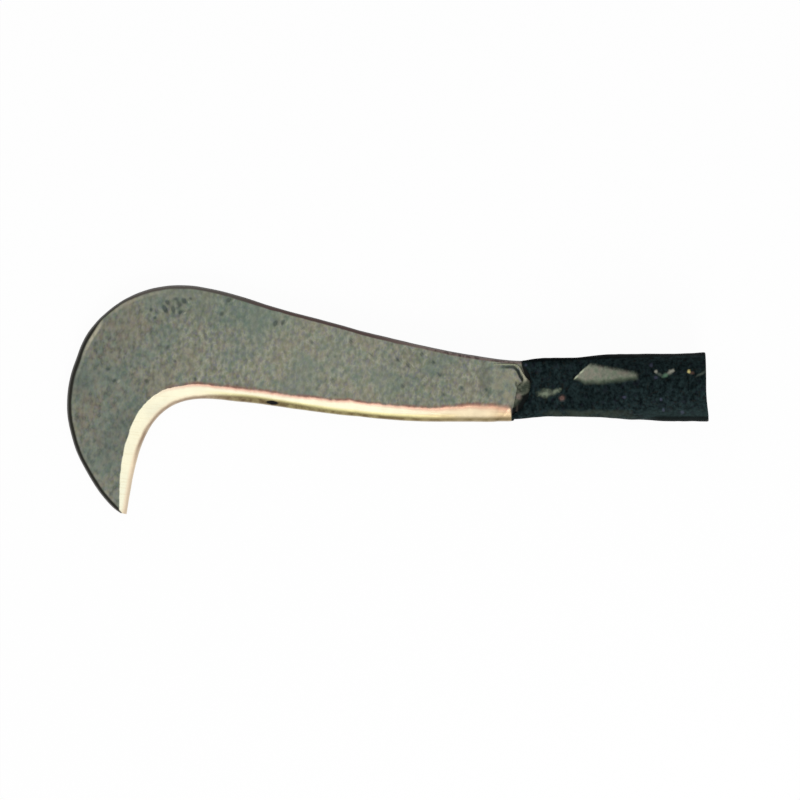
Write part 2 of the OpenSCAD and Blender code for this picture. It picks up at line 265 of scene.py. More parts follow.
# Half a section, from the edge over the bevel and the face to the corner and the middle of the back,
# where the two halves stop just short of each other.
thicken_run = 1.75
hollow_u = 3.0
hollow_fade = 0.75
corner_limit = 0.2
near_middle = 0.98
back_half = np.where(u < 2, tip_thick + (hump_thick - tip_thick) * u / 2,
                     ease(hump_thick, blade_thick, (u - 2) / thicken_run)) / 2
bevel_half = back_half * ease(hollow_share, 1, (u - hollow_u) / hollow_fade)
corner = np.minimum(back_chamfer, corner_limit * width)
t_bevel = np.linspace(0, 1, 13)[:, None]
t_face = np.interp(np.arange(1, 73), [0, 36, 72], [0, 0.66, 1])[:, None]
t_corner = np.linspace(0, np.pi / 2, 6)[1:, None]
t_back = np.linspace(0, 1, 4)[1:, None]
flat = width - corner
from_edge = np.concatenate([
    t_bevel * bevel, bevel + t_face * (flat - bevel), flat + corner * np.sin(t_corner), width + 0 * t_back
]).T
height = np.concatenate([
    edge_thick / 2 + t_bevel * (bevel_half - edge_thick / 2),
    bevel_half + t_face * (back_half - bevel_half),
    back_half - corner * (1 - np.cos(t_corner)),
    (back_half - corner) * (1 - near_middle * t_back),
]).T
plate = edge_line[:, None] + across[:, None] * from_edge[..., None]

# Near the neck the sections bend to the lip's curve, where the plate is let in, and the heel ends
# straight down below it.
bend_x = -128.0
heel_end_y = -16.8
lip_gap = 0.1
ahead = np.maximum(plate[..., 0] - bend_x, 0) / (root_x - bend_x)
plate_end = lip_line(np.maximum(plate[..., 1], heel_end_y)) - lip_gap
plate[..., 0] = np.minimum(plate[..., 0], bend_x) + ahead * (plate_end - bend_x)

# Hammer marks lie where the smith's blows fell, with a burr beside each deep one; the ground bevel is
# free of them. Each is x, y, length, width, heading and depth; the scattered ones are drawn at random.
draw = np.random.default_rng(7)
mark_count = 240
mark_ranges = [(-350, -105), (-60, 56), (0.9, 2.2), (0.7, 1.2), (50, 130), (0.015, 0.08)]
smooth_from_x = -118.0
scatter = np.column_stack([draw.uniform(low, high, mark_count) for low, high in mark_ranges])
scatter[:, 5] *= scatter[:, 0] < smooth_from_x
blows = [
    (-293.0, 45.0, 9.0, 5.5, 25, 0.10), (-297.4, 43.1, 2.2, 0.9, 121, 0.44),
    (-293.0, 42.6, 2.2, 0.8, 100, 0.32), (-296.2, 46.7, 1.5, 0.8, 123, 0.28),
    (-291.5, 48.5, 1.1, 1.0, 90, 0.20), (-286.8, 47.5, 1.7, 1.0, 115, 0.34),
    (-289.6, 45.8, 1.7, 0.8, 105, 0.24), (-288.9, 41.2, 1.7, 0.8, 25, 0.31),
    (-283.5, 48.7, 0.9, 0.8, 90, 0.22), (-305.1, 42.7, 1.3, 0.7, 95, 0.28),
    (-303.1, 38.3, 1.1, 0.8, 170, 0.28), (-266.3, 40.5, 1.8, 1.0, 55, 0.28),
    (-262.3, 48.0, 1.8, 1.1, 40, 0.44), (-280.8, 23.2, 1.5, 0.9, 80, 0.26),
    (-295.9, 22.0, 1.8, 1.0, 70, 0.24), (-292.3, 14.6, 1.2, 1.0, 60, 0.28),
    (-325.3, 3.6, 1.4, 1.0, 50, 0.32), (-328.9, 10.0, 1.6, 1.0, 65, 0.28),
    (-307.8, 3.6, 1.3, 1.0, 60, 0.28), (-280.8, 4.5, 1.3, 0.8, 85, 0.32),
    (-257.8, 0.6, 1.2, 0.9, 80, 0.26), (-345.0, -18.0, 6.0, 3.0, 80, 0.12),
    (-330.0, -32.0, 2.0, 1.1, 80, 0.22), (-326.0, -22.0, 1.8, 1.1, 90, 0.22),
    (-236.8, 35.0, 2.0, 1.1, 60, 0.38), (-232.8, 35.6, 2.0, 1.1, 55, 0.36),
    (-221.8, 32.5, 1.6, 1.0, 60, 0.26), (-216.8, 24.5, 1.8, 0.9, 110, 0.28),
    (-205.8, 4.0, 1.4, 1.0, 60, 0.24), (-195.3, 25.2, 1.8, 0.9, 80, 0.30),
    (-184.3, 18.0, 1.2, 0.9, 60, 0.26), (-169.3, 15.0, 1.6, 1.0, 115, 0.36),
    (-163.8, 12.0, 1.6, 1.0, 100, 0.38), (-166.8, 1.0, 1.6, 1.2, 60, 0.26),
    (-156.3, 18.0, 1.3, 1.1, 30, 0.34), (-149.8, 13.8, 1.4, 0.9, 65, 0.30),
    (-146.6, 7.0, 1.6, 1.0, 70, 0.28), (-144.3, -4.0, 1.4, 1.0, 60, 0.26),
    (-134.7, -0.3, 1.4, 1.0, 60, 0.28), (-120.7, -1.3, 1.2, 1.0, 60, 0.24),
]
blow_spread = 1.35
burr_right = 1.9
burr_down = 0.4
burr_wide = 0.9
burr_high = 0.18
burr_from = 0.3
burrs = [(x_at + burr_right, y_at - burr_down, long, burr_wide, heading, -burr_high * (deep > burr_from))
         for x_at, y_at, long, _, heading, deep in blows]
broad_blows = np.array(blows) * (1, 1, 1, blow_spread, 1, 1)
back_marks_up = 12.0
back_marks = scatter * (1, -1, 1, 1, 1, 1) + (0, back_marks_up, 0, 0, 0, 0)
bevel_fade = 1.5
back_fade = 2.0
below_back = width[:, None] - from_edge
off_bevel = np.clip((from_edge - bevel[:, None]) / bevel_fade, 0, 1)
on_face = off_bevel * np.clip(below_back / back_fade, 0, 1)
front_dip = on_face * (gouges(plate, broad_blows) + gouges(plate, burrs) + gouges(plate, scatter))
back_dip = on_face * gouges(plate, back_marks)

# A groove follows the weld on the front face, and both faces roll a little.
groove = np.array([(-114.0, 11.2), (-105.8, 11.1), (-103.6, 9.0), (-102.2, 6.1), (-100.9, 3.9)])
groove_depth = 0.3
groove_half = 0.8
groove_start = -116.0
groove_run = 8.0
front_roll = 0.06
back_roll = 0.08
deepest = 0.6 * height
beside_weld = from_path(plate, groove)
groove_fade = np.clip((plate[..., 0] - groove_start) / groove_run, 0, 1)
front_dip += groove_depth * bell(beside_weld, 0, groove_half) * groove_fade
front_rolls = front_roll * on_face * (1 + waves(plate, length=17, seed=4))
back_rolls = back_roll * on_face * (1 + waves(plate, length=21, seed=5))
front_z = height - np.minimum(front_dip + front_rolls, deepest)
back_z = np.minimum(back_dip + back_rolls, deepest) - height

# The tang goes on from the lip as a flat tongue that narrows to a round end, where its rows are closer.
tang_t = np.concatenate([[0.0], np.linspace(0.02, 0.8, 12), 1 - 0.2 * np.cos(np.linspace(0.1, 1.55, 14))])
tang_half = (tang_top - tang_foot) / 2
tang_mid = (tang_top + tang_foot) / 2
tang_x = lip_x + tang_t * tang_length
end_x = lip_x + tang_length - tang_end_r
taper = np.clip((tang_x - lip_x - tang_straight) / (end_x - lip_x - tang_straight), 0, 1)
round_end = np.sqrt(np.maximum(tang_end_r**2 - np.maximum(tang_x - end_x, 0) ** 2, 0.2))
half_wide = np.where(taper < 1, tang_half + (tang_end_r - tang_half) * taper, round_end)
root_side = (plate[-1, :, 1] + belly_drop) / (back_foot + belly_drop) * 2 - 1
tang_y = tang_mid + half_wide[:, None] * np.clip(root_side, -1, 1)
tang = np.stack([tang_x[:, None] + (lip_line(tang_y) - lip_x) * (1 - tang_t)[:, None], tang_y], -1)
tang_z = np.full(tang_y.shape, blade_thick / 2)
outline = np.concatenate([plate, tang])
upper = np.concatenate([outline, np.concatenate([front_z, tang_z])[..., None]], -1)
lower = np.concatenate([outline, np.concatenate([back_z, -tang_z])[..., None]], -1)

# Line where the black of the socket ends on the neck, from the back down to the edge.
paint_end = np.array([
    (-102.2, 16.0), (-101.7, 12.0), (-100.5, 9.0), (-100.0, 6.9), (-99.4, 5.6), (-98.0, 4.2), (-96.8, 1.2),
    (-96.7, -1.4), (-98.3, -3.2), (-101.4, -5.0), (-102.7, -7.9), (-103.9, -9.7), (-106.8, -11.6),
    (-107.4, -18.0),
])
back_paint = 1.2
back_groove = 3.4


def past_paint_end(points):
    """How far points lie to the right of the line where the black paint ends on the front."""
    return points[..., 0] - np.interp(-points[..., 1], -paint_end[:, 1], paint_end[:, 0])


def past_lip(points):
    """How far points lie to the right of the lip's circle."""
    return points[..., 0] - lip_line(points[..., 1])


def on_faces(front_values, back_values, on_tang):
    """A measure on the plate's two faces, carried on over the tang as one number."""
    rest = np.full(tang_y.shape, on_tang)
    return np.concatenate([np.concatenate([front_values, rest]),
                           np.concatenate([back_values, rest])[:, ::-1]], 1)


inward = bevel[:, None] - from_edge
blade = skin(
    "blade_forged", np.concatenate([upper, lower[:, ::-1]], 1),
    grind_mm=on_faces(inward, inward, -30.0),
    edge_mm=on_faces(from_edge, from_edge, 30.0),
    back_mm=on_faces(below_back, below_back, 30.0),
    dent_mm=on_faces(front_dip, back_dip, 0.0),
    groove_mm=on_faces(beside_weld, np.abs(past_lip(plate) + back_groove), 9.0),
    paint_mm=on_faces(past_paint_end(plate), past_lip(plate) + back_paint, 9.0),
)


class Wire:
    """An output in a material's node tree, so that shader maths reads as plain arithmetic."""

    def __init__(self, tree, output=None):
        self.tree = tree
        self.output = output

    def node(self, kind, settings, sockets, output=0):
        """Adds a node: its settings are set first, then each socket gets a value or a link."""
        made = self.tree.nodes.new("ShaderNode" + kind)
        for name, value in settings.items():
            setattr(made, name, value)
        for key, value in sockets.items():
            if isinstance(value, Wire):
                self.tree.links.new(value.output, made.inputs[key])
            else:
                made.inputs[key].default_value = value
        return Wire(self.tree, made.outputs[output]) if made.outputs else None

    def maths(self, operation, first, second):
        return self.node("Math", {"operation": operation}, {0: first, 1: second})

    def __add__(self, other):
        return self.maths("ADD", self, other)

    def __sub__(self, other):
        return self.maths("SUBTRACT", self, other)

    def __rsub__(self, other):
        return self.maths("SUBTRACT", other, self)

    def __mul__(self, other):
        return self.maths("MULTIPLY", self, other)

    __radd__ = __add__
    __rmul__ = __mul__

    def most(self, other):
        return self.maths("MAXIMUM", self, other)

    def least(self, other):
        return self.maths("MINIMUM", self, other)

    def between(self, low, high):
        """0 below low, 1 above high and a smooth step from one to the other; low may be the larger."""
        return self.node("MapRange", {"interpolation_type": "SMOOTHSTEP"},
                         {"Value": self, "From Min": low, "From Max": high, "To Min": 0.0, "To Max": 1.0})

    def within(self, start, full, fade, end):
        """0 up to start, 1 from full to fade and 0 again from end, with a smooth step at each side."""
        return self.between(start, full) * self.between(end, fade)

    def measure(self, name):
        """A measure that the mesh carries at its points."""
        return self.node("Attribute", {"attribute_name": name}, {}, "Fac")

    def noise(self, lump, detail=2.0, rough=0.5):
        """Cloudy noise from 0 to 1 on this vector in millimetres, with lumps about that far across."""
        return self.node("TexNoise", {}, {
            "Vector": self, "Scale": 1 / lump, "Detail": detail, "Roughness": rough})

    def turned(self, degrees, stretch, centre=(0.0, 0.0)):
        """This vector measured from a centre, turned about Z and in units of stretch along each axis."""
        return self.node("Mapping", {"vector_type": "TEXTURE"}, {
            "Vector": self, "Location": (*centre, 0.0), "Rotation": (0.0, 0.0, math.radians(degrees)),
            "Scale": stretch})

    def oval(self, centre, half, degrees=0.0):
        """Distance from a centre in x and y, as a share of an oval's half sizes: 1 on its rim."""
        off = self.turned(degrees, (*half, 1e4), centre)
        return self.node("VectorMath", {"operation": "LENGTH"}, {0: off}, "Value")

    def ovals(self, *spots):
        """The least distance from some ovals, each given as its centre, half sizes and degrees."""
        nearest = self.oval(*spots[0])
        for spot in spots[1:]:
            nearest = nearest.least(self.oval(*spot))
        return nearest

    def mixed(self, low, high):
        """Colour low where this is 0 and colour high where it is 1."""
        return self.node("Mix", {"data_type": "RGBA"}, {0: self, 6: low, 7: high}, 2)


def layered(colour, *layers):
    """A colour with layers laid over it in turn, each a pair of the share it covers and its colour."""
    for share, over in layers:
        colour = share.mixed(colour, over)
    return colour


def seen(red, green, blue):
    """The linear colour of a colour written as it is seen, from 0 to 255."""
    part = np.array([red, green, blue]) / 255
    linear = np.where(part <= 0.04045, part / 12.92, ((part + 0.055) / 1.055) ** 2.4)
    return (*linear.tolist(), 1.0)


def new_finish(name):
    """A new material with its tree, the place on the object in millimetres, and x, y and z apart."""
    material = bpy.data.materials.new(name)
    material.use_nodes = True
    material.node_tree.nodes.clear()
    start = Wire(material.node_tree)
    place = start.node("TexCoord", {}, {}, "Object")
    place = start.node("VectorMath", {"operation": "SCALE"}, {0: place, "Scale": 1 / MM})
    apart = [start.node("SeparateXYZ", {}, {0: place}, axis) for axis in range(3)]
    return material, start, place, apart


def end_finish(start, bump, bump_depth, sockets):
    """Ends a material in one surface shader with a bump that many millimetres deep."""
    sockets["Normal"] = start.node("Bump", {}, {"Height": bump, "Distance": bump_depth * MM})
    surface = start.node("BsdfPrincipled", {}, sockets)
    start.node("OutputMaterial", {}, {"Surface": surface})


material, start, place, (x, y, _) = new_finish("forge_scale_and_ground_edge")
grind = start.measure("grind_mm")
from_cut = start.measure("edge_mm")
from_back = start.measure("back_mm")
dent = start.measure("dent_mm")
from_groove = start.measure("groove_mm")
grain = place.turned(-6, (1.0, 1.45, 1.0)).noise(2.3, detail=1.0, rough=0.45)
fleck = place.turned(-12, (1.0, 1.7, 1.0)).noise(2.4, detail=1.0)
hue = place.turned(-10, (1.0, 1.4, 1.0)).noise(1.35, detail=1.5)
tint = place.turned(-20, (1.0, 1.3, 1.0)).noise(3.4)
blotch = place.turned(-20, (1.0, 1.2, 1.0)).noise(6.0, detail=3.0, rough=0.6)
cloud = place.noise(24.0, detail=3.0)
scratch = place.turned(-24, (0.45, 3.2, 1.0)).noise(1.6, detail=1.0)
strokes = place.turned(-4, (11.0, 0.55, 1.0)).noise(1.5)

# Grey scale: light and dark grain, brown and blue-green clouds and dark flecks. The raised burrs are painted
# lighter, as a highlight on their flanks, and the dents darker, as shade and dirt down in them.
forward = x.between(-270, -335)
darker = forward.mixed(seen(102, 107, 96), seen(89, 94, 86))
lighter = forward.mixed(seen(167, 168, 149), seen(142, 145, 130))
tinge = 0.68 - 0.22 * forward
hollow = place.ovals(((-321.5, -24), (7, 20), -18), ((-344, 1.5), (8, 9))) + 0.8 * (blotch - 0.5)
pale_hump = place.oval((-288, 51), (22, 4), -4)
green_hump = place.oval((-262, 45), (42, 17), -12)
nape = x.within(-121, -115, -105, -102.5) * y.within(-11, -7, 7.5, 10.5)
nape_band = place.oval((-121.6, 4.0), (3.6, 10.0), 4) + 0.8 * (blotch - 0.5)
dent_shade_and_dirt = (dent + 0.12 * (fleck - 0.5)).between(0.05, 0.29)
scale = layered(
    grain.between(0.2, 0.8).mixed(darker, lighter),
    (0.34 * tint.between(0.5, 0.68), seen(148, 129, 115)),
    (0.36 * tint.between(0.5, 0.32), seen(108, 134, 120)),
    (tinge * hue.between(0.52, 0.7), seen(132, 136, 104)),
    (tinge * hue.between(0.48, 0.3), seen(124, 123, 132)),
    (0.4 * cloud.between(0.44, 0.64), seen(106, 122, 113)),
    (0.3 * cloud.between(0.48, 0.34), seen(132, 124, 106)),
    (0.35 * fleck.between(0.66, 0.8), seen(70, 78, 74)),
    (0.1 * scratch.between(0.6, 0.75), seen(166, 166, 146)),
    (0.3 * hollow.between(1.4, 0.4), seen(84, 98, 92)),
    (0.22 * pale_hump.between(1.2, 0.4), seen(158, 150, 132)),
    (0.12 * x.within(-262, -240, -180, -160), seen(160, 160, 140)),
    (0.14 * x.within(-185, -165, -142, -128), seen(92, 102, 88)),
    (0.3 * green_hump.between(1.1, 0.5), seen(94, 118, 106)),
    (0.42 * nape * blotch.between(0.45, 0.6), seen(156, 147, 122)),
    (0.3 * nape * blotch.between(0.48, 0.36), seen(98, 102, 88)),
    (0.5 * nape_band.between(1.3, 0.5), seen(90, 95, 84)),
    # painted highlight on the raised burrs, then painted shade and dirt in the dents
    (0.5 * dent.between(-0.02, -0.1), seen(176, 178, 158)),
    (0.62 * dent_shade_and_dirt, seen(44, 58, 58)),
)

# The back's chamfer is painted dark, as shade over dark scale: black round the nose, brownish along the
# straight and pale at its very rim. Inside it a pale line is a painted highlight, laid as wear.
nose = x.between(-235, -262)
corner_reach = 2.0 + 0.65 * x.between(-300, -330) + 1.05 * x.between(-285, -245) + 0.8 * (blotch - 0.5)
corner_reach = corner_reach - 1.1 * y.between(28, 38) * x.between(-305, -325)
corner_reach = corner_reach - 0.8 * x.between(-175, -155) - 0.4 * x.between(-134, -114)
chamfer_sheen = from_back.between(corner_reach + 2.4, corner_reach + 1.1) * x.between(-294, -306)
chamfer_sheen = chamfer_sheen * blotch.between(0.3, 0.55)
chamfer_sheen = chamfer_sheen * (0.12 + 0.88 * y.within(15, 21, 33, 39) + 0.25 * y.between(37, 44))
corner_shade = layered(
    x.between(-190, -150).mixed(seen(80, 66, 63), seen(112, 98, 93)),
    (0.7 * x.between(-160, -146) * fleck.between(0.46, 0.6), seen(54, 40, 40)),
    (nose, x.between(-308, -326).mixed(seen(84, 79, 74), seen(40, 40, 35))),
    (0.75 * from_back.between(1.3, 0.1), seen(140, 138, 136)),
)

# The groove beside the weld and the face along the weld's foot are painted dark as shade. A band just short
# of the paint's line is painted shade as well, and the socket's paint runs on over the neck and the heel.
groove_shade = (from_groove + 0.8 * (fleck - 0.5)).between(1.25, 0.45) * (0.5 + 0.5 * x.between(-107, -103))
weld_edge_shade = place.oval((-104.5, 1.4), (0.6, 2.3), 5) + 0.7 * (grain - 0.5)
groove_shade = (groove_shade * x.between(-117, -110)).most(0.6 * weld_edge_shade.between(1.3, 0.4))
paint_over = start.measure("paint_mm") + 1.4 * (blotch - 0.5)
shade = paint_over.between(-1.9, -0.6) * y.within(3.0, 5.0, 10.8, 12.6)
painted = paint_over.between(-0.3, 0.6)

# Heat from the grinding has browned the scale along the bevel.
hot = x.within(-312, -275, -110, -106)
flush = (grind + 1.6 * (fleck - 0.5)).between(-2.4, 0.0) * hot * (0.4 + 0.6 * blotch.between(0.3, 0.55))
scale = layered(
    scale,
    # painted highlight inside the chamfer, then the chamfer's painted shade
    (0.8 * chamfer_sheen, seen(196, 190, 164)),
    (from_back.between(corner_reach + 0.6, corner_reach - 0.5), corner_shade),
    # painted shade in the groove, by the weld and short of the paint
    (0.92 * groove_shade, seen(24, 31, 29)),
    (0.75 * shade, seen(50, 45, 41)),
    (0.8 * flush, seen(138, 92, 82)),
    (painted, seen(14, 16, 16)),
)

# Rust sits in a band along the very edge, wider under the belly, and a nick is black with it.
belly = x.between(-285, -250)
heel = x.between(-190, -112)
stain = 2.1 + 0.55 * belly - 0.45 * y.between(-26, -19) * (1 - belly) - 0.7 * y.between(-28, -50)
stain = stain + 0.75 * x.within(-280, -256, -235, -203)
stain = stain - 0.45 * x.between(-170, -150) - 0.1 * x.between(-122, -114)
rusty = (from_cut + 1.4 * (blotch - 0.5) - stain).between(1.0 + 0.7 * belly, -0.9)
rusty = rusty * (0.8 + 0.2 * blotch.between(0.35, 0.6)) * (1 - 0.5 * y.between(-30, -44))
belly_rust = layered(
    heel.mixed(seen(112, 97, 64), seen(132, 116, 80)),
    (0.7 * x.within(-266, -254, -244, -232), seen(90, 68, 48)),
    (0.6 * x.between(-122, -114), seen(90, 74, 46)),
)
edge_rust = layered(
    belly.mixed(seen(160, 136, 114), belly_rust),
    (0.6 * from_cut.between(1.0, 0.1), seen(200, 188, 172)),
)
nick = (place.oval((-238.6, -8.5), (3.4, 1.2), -8) + 0.5 * (grain - 0.5)).between(1.1, 0.8)

# Ground bevel: cream steel with fine strokes, flushed by heat at its upper line and towards the heel,
# yellow low down, and black at the heel's end.
ragged = grind + (0.4 + 0.5 * belly) * (grain - 0.5)
soft = 0.2 + 0.6 * belly + 0.9 * x.between(-150, -112)
ground = ragged.between(0.0 - soft, 0.35 + soft) * (1.0 - painted)
beak = y.between(-42, -56)
dull_throat = place.oval((-297, -15), (13, 9))
peach = (0.4 + 0.25 * y.between(-28, -38)) * from_cut.between(3.8, 1.6) * (1 - belly)
flushed = heel.mixed(seen(226, 168, 148), seen(198, 148, 124))
bright = layered(
    (from_cut.between(5.4, 3.6) * belly).mixed(seen(247, 242, 213), seen(243, 235, 172)),
    (beak, seen(255, 253, 226)),
    (0.6 * dull_throat.between(1.1, 0.5), seen(234, 231, 207)),
    (peach, seen(240, 212, 180)),
    (0.3 * strokes.between(0.5, 0.75), seen(226, 208, 168)),
    (heel * (0.85 + 0.15 * strokes.between(0.4, 0.7)), seen(202, 176, 142)),
    (0.75 * x.within(-144, -132, -122, -112), seen(221, 206, 174)),
    (0.85 * ragged.between(2.5 + 1.3 * heel, 0.2) * hot, flushed),
    (rusty, edge_rust),
    (0.97 * (x + 0.15 * y).between(-110.0, -108.8), seen(26, 15, 15)),
    (nick, seen(18, 16, 17)),
)
relief = 0.4 * grain + 0.4 * fleck + 0.5 * blotch
end_finish(start, (1 - ground) * relief + 0.1 * ground * strokes, 0.2, {
    "Base Color": ground.mixed(scale, bright),
    "Roughness": 0.66 - 0.34 * ground + 0.2 * (blotch - 0.5),
    "Metallic": 0.85 * ground * (1 - rusty) * (1 - nick) * (1 - 0.8 * beak),
    "Specular IOR Level": 0.08,
})
blade.data.materials.append(material)
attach(blade, "root")
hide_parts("blade")

# Socket
# A sheet of mild steel, rolled hot round a mandrel to a tube for the handle and pinched flat over the
# tang, with its two edges butted at the back. It was dipped in black paint, now worn through.
bore_r = 16.0
sheet = 2.0
mouth_r = bore_r + sheet + 1.0
barrel_r = bore_r + sheet
bore_depth = 38.0
pinch_x = lip_x + 21.5
pinch_half = 16.3
pinch_depth = blade_thick / 2 + sheet
lip_lean = 1.8
lean_run = 18.0
upper_swell = 0.9
mouth_top = -0.48
mouth_flare = 1.85
flare_power = 1.7
lip_horn = 1.7
horn_y = 10.0
horn_run = 4.5
lip_raise = 0.4
raise_run = 12.0
lip_ragged = 0.3
low_bends = [(-66, 0), (-58, 0.4), (-50, 0.35), (-42, 0), (-32, 0), (-24, -0.4), (-15, -0.4), (-6, 0)]
high_bends = [(-50, 0), (-42, 0.4), (-32, 0.4), (-24, 0.1), (-15, 0), (-6, 0.1), (0, 0.45)]
barrel_rough = 0.05
seam_mouth = 2.2
seam_lip = 0.7
rim_round = 0.35
rim_run = 0.9
nail_r = 2.25
nail_x = -15.0


def slot_point(share, half_h, half_d):
    """Point at a share of the way round a slot with round ends, from the middle of its back face down
    and round: a straight, a half circle, a straight, a half circle and the straight's other half."""
    straight = np.maximum(half_h - half_d, 0)
    turn = np.pi * half_d
    run = share * (4 * straight + 2 * turn)
    low = np.clip((run - straight) / half_d, 0, np.pi)
    high = np.clip((run - 3 * straight - turn) / half_d, 0, np.pi)
    slide = np.clip(run, 0, straight) - np.clip(run - straight - turn, 0, 2 * straight)
    slide = slide + np.clip(run - 3 * straight - 2 * turn, 0, straight)
    return -slide - half_d * (np.sin(low) - np.sin(high)), half_d * (np.cos(high) - np.cos(low) - 1)


def socket_wall(x_at, share, depth):
    """Y and Z of the socket's wall at x_at and a share of the way round, depth below its outside. The
    slot eases from the round barrel to the flat pinch, swells upwards between and leans at the lip. Its
    lower and upper sides stray a little, as they were hammered."""
    t = (x_at + bore_depth) / (pinch_x + bore_depth)
    pinched = ease(0, 1, t)
    outside = mouth_r + (barrel_r - mouth_r) * np.clip(-x_at / bore_depth, 0, 1)
    swell = upper_swell / 2 * np.sin(np.pi * np.clip(t, 0, 1)) ** 2
    half_h = outside + (pinch_half - barrel_r) * pinched + swell
    half_d = outside + (pinch_depth - barrel_r) * pinched
    y_at, z_at = slot_point(share, half_h - depth, half_d - depth)
    at_lip = ease(0, 1, (lip_x + raise_run / 2 - x_at) / raise_run)
    raised = lip_raise * at_lip * np.clip(-y_at / pinch_half, 0, 1)
    raised = raised + stray(x_at, low_bends) * np.clip(-y_at / barrel_r, 0, 1)
    raised = raised + stray(x_at, high_bends) * np.clip(y_at / barrel_r, 0, 1)
    return y_at + raised + swell + ease(0, -lip_lean, (lip_x + lean_run / 2 - x_at) / lean_run), z_at


def sheet_side(inner):
    """One side of the rolled sheet as a grid: round the socket from seam to seam, along it from the lip
    to the mouth. Also gives each point's distance in millimetres from the nearest edge of the sheet."""
    share = np.linspace(0, 1, 241)[:, None]
    length = -lip_x
    edge_rows = np.array([0.0, 0.2, 0.5, 0.9]) / length
    t = np.concatenate([edge_rows, np.linspace(0.016, 0.984, 125), 1 - edge_rows[::-1]])
    lip_y, _ = socket_wall(np.full_like(share, lip_x - 4), share, 0.0)
    mouth_y, _ = socket_wall(np.zeros_like(share), share, 0.0)
    lip_at = lip_line(lip_y) + lip_ragged * waves(lip_y, length=6, seed=11)[:, None]
    lip_at = lip_at - ease(0, lip_horn, (lip_y - horn_y) / horn_run)
    mouth_at = mouth_top + mouth_flare * np.clip(-mouth_y / mouth_r, 0, 1) ** flare_power
    x_at = lip_at + t * (mouth_at - lip_at)
    from_rim = np.minimum(t, 1 - t) * length
    rounding = rim_round * np.clip(1 - from_rim / rim_run, 0, 1) ** 2
    wall = sheet + (mouth_r - barrel_r) * np.clip(1 + x_at / bore_depth, 0, 1)
    girth = 2 * math.pi * bore_r
    gap = (seam_lip + (seam_mouth - seam_lip) * np.clip(1 - x_at / lip_x, 0, 1)) / 2 / girth
    depth = wall - rounding if inner else rounding
    y_at, z_at = socket_wall(x_at, gap + share * (1 - 2 * gap), depth)
    grid = np.stack([x_at, y_at, z_at], -1)
    if not inner:
        blow = barrel_rough * (2 + waves(grid, length=14, seed=12) + waves(grid, length=6, seed=13))
        grid[..., 1:] *= 1 - (blow / np.linalg.norm(grid[..., 1:], axis=-1))[..., None]
    return grid, np.minimum(from_rim, np.minimum(share, 1 - share) * girth)


outside, outer_rim = sheet_side(False)
inside, inner_rim = sheet_side(True)
socket = skin(
    "socket_rolled", np.concatenate([outside, inside[:, ::-1]], 1),
    rim_mm=np.concatenate([outer_rim, inner_rim[:, ::-1]], 1),
    inside=np.concatenate([np.zeros_like(outer_rim), np.ones_like(inner_rim)], 1),
)

# The nail hole is drilled through the lower side, square to the barrel.
drill_sides = 48
drill_clear = 4.0
angle = np.linspace(0, 2 * np.pi, drill_sides, endpoint=False)
drill = np.stack([nail_x + nail_r * np.cos(angle), np.zeros(drill_sides), nail_r * np.sin(angle)], -1)
bit = skin("drill", np.stack([drill + (0, -mouth_r - drill_clear, 0), drill + (0, -drill_clear, 0)]))
cut = socket.modifiers.new("nail_hole", "BOOLEAN")
cut.operation = "DIFFERENCE"
cut.object = bit
drilled = bpy.data.meshes.new_from_object(socket.evaluated_get(bpy.context.evaluated_depsgraph_get()))
socket.modifiers.clear()
socket.data = drilled
socket.data.name = "socket_rolled"
bpy.data.objects.remove(bit)

material, start, place, (x, y, z) = new_finish("worn_black_paint_and_sheen")
from_rim = start.measure("rim_mm")
in_bore = start.measure("inside") * from_rim.between(0.3, 1.4)
grain = place.turned(5, (1.0, 1.3, 1.0)).noise(1.9, rough=0.6)
blotch = place.noise(5.5, detail=3.0)
cloud = place.noise(16.0)
fleck = place.noise(1.7, detail=1.0)
speck = place.noise(3.2, detail=1.0)
face = z.between(0.5, 2.5)

# Paint: greenish black with a fine grain and brown and blue flecks. A paler band along the lower side is
# painted light, the top of the barrel is painted darker as shade, and the bottom is darker near the mouth.
# Blue-grey flecks of an older coat, and one painted highlight in the same blue at the lip's upper corner.
blue_flecks_and_sheen = place.ovals(
    ((-99.2, 12.3), (0.9, 0.8)), ((-45.2, -5.4), (1.0, 0.8)), ((-30.4, 12.2), (1.1, 0.9), 40),
    ((-28.1, 5.2), (1.2, 0.8)), ((-25.2, -6.7), (0.7, 1.1)), ((-23.8, -12.5), (0.7, 1.1)),
    ((-13.4, -13.8), (0.9, 1.1)),
)
blue_flecks_and_sheen = (blue_flecks_and_sheen + 1.4 * (fleck - 0.5)).between(1.5, 0.3) * face
# painted light along the lower side and painted shade along the top of the barrel
low_band = y.between(-11.6, -13.8) * x.within(-92, -84, -56, -30) * face
crown = y - 0.04 * (x + 96.0) + 0.8 * (speck - 0.5)
paint = layered(
    grain.between(0.2, 0.9).mixed(seen(5, 11, 13), seen(39, 54, 55)),
    (0.3 * speck.between(0.56, 0.72), seen(34, 33, 45)),
    (0.4 * fleck.between(0.42, 0.28), seen(34, 30, 25)),
    (0.6 * blue_flecks_and_sheen, seen(72, 74, 94)),
    # painted light on the lower side, then painted shade on the top
    (0.45 * low_band * blotch.between(0.3, 0.6), seen(66, 72, 61)),
    (0.85 * crown.between(13.3, 14.5), seen(2, 5, 6)),
    (0.3 * y.between(-10.5, -14.0) * x.between(-40, -28) * face, seen(46, 60, 58)),
    (0.85 * y.between(-15.2, -16.8) * x.between(-36, -26), seen(4, 7, 7)),
)

